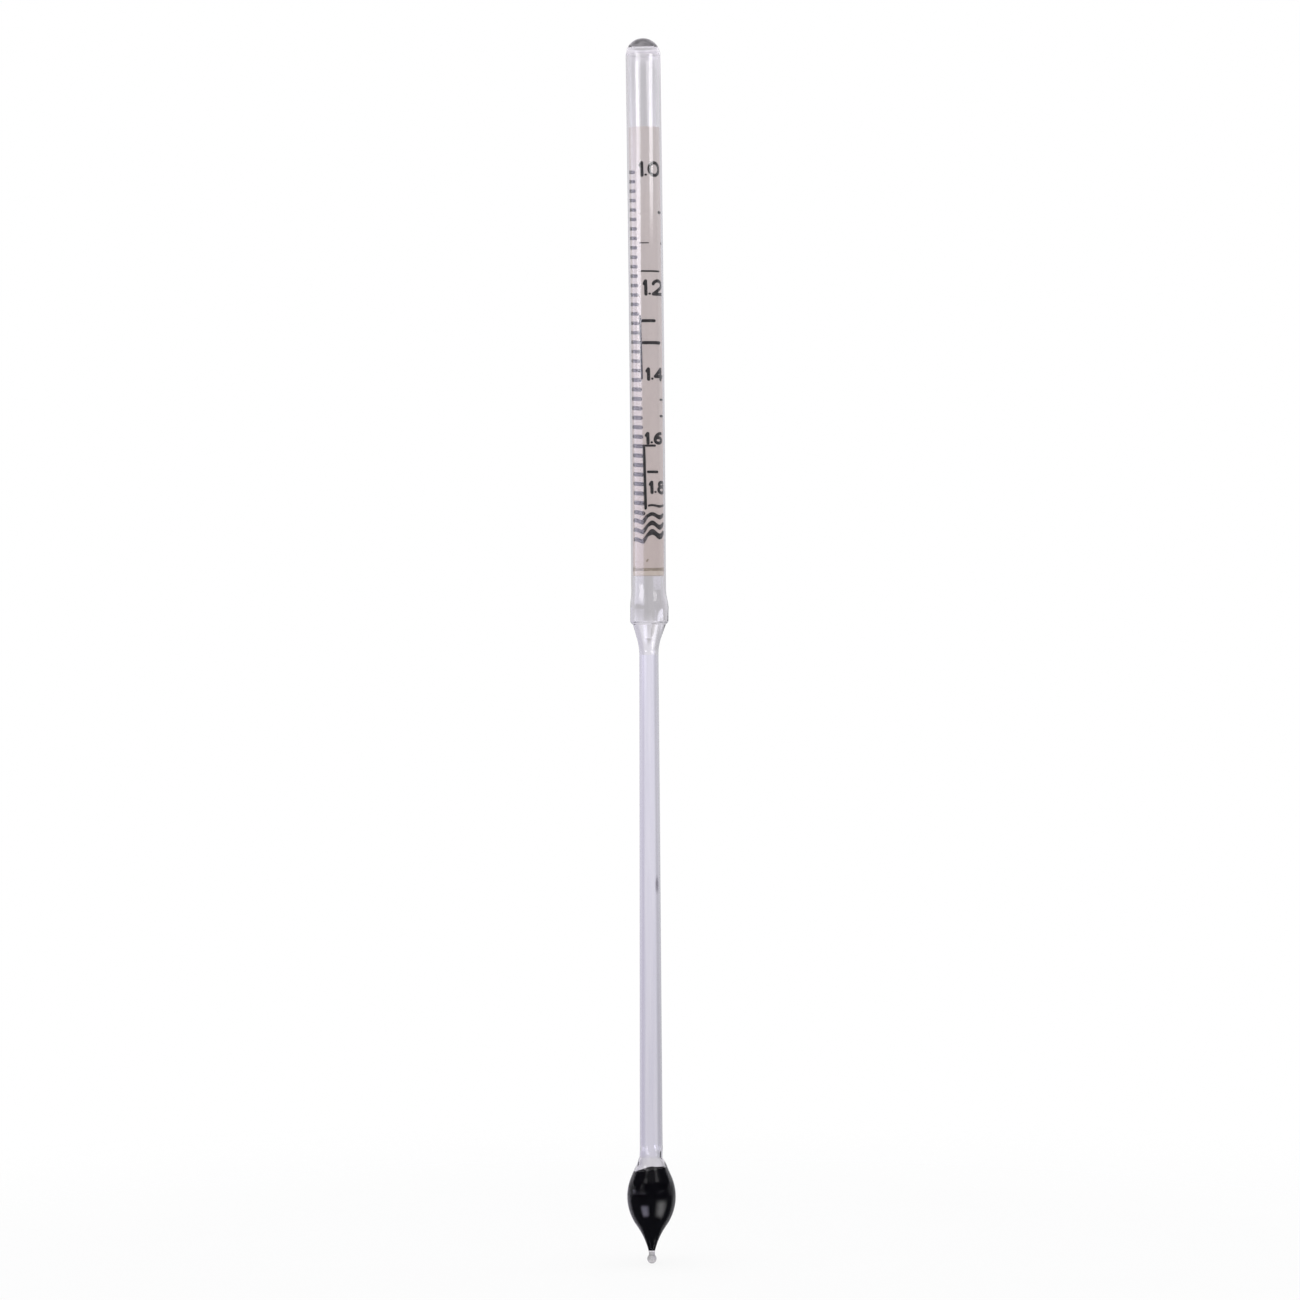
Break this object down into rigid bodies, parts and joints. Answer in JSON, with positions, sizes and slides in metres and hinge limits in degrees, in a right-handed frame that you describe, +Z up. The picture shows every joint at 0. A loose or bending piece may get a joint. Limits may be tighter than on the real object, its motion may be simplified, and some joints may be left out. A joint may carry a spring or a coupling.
{
  "type": "hydrometer",
  "caption": "Sealed glass hydrometer: a wide tube with a rolled paper scale, a slim neck and a teardrop bulb filled with black ballast.",
  "frame": {"origin": "lowest point of the bead at the tip, on the glass axis", "axes": "+Z up along the glass axis towards the closed dome; the scale is read from -Y, so +X is to the reader's right"},
  "size_m": [0.0118, 0.0118, 0.3],
  "materials": {
    "clear_glass": "polished",
    "dome_glass": "polished",
    "paper": "matte",
    "ink": "matte",
    "glue": "satin",
    "pitch": "gloss",
    "shot": "satin"
  },
  "bodies": {
    "root": {"end_dome": "dome_glass", "scale_tube": "clear_glass", "shoulder": "clear_glass", "neck_tube": "clear_glass", "ballast_bulb": "clear_glass", "tip_bead": "clear_glass", "paper_scale": "paper", "graduations": "ink", "scale_adhesive": "glue", "ballast_pitch": "pitch", "ballast_shot": "shot"}
  },
  "joints": []
}
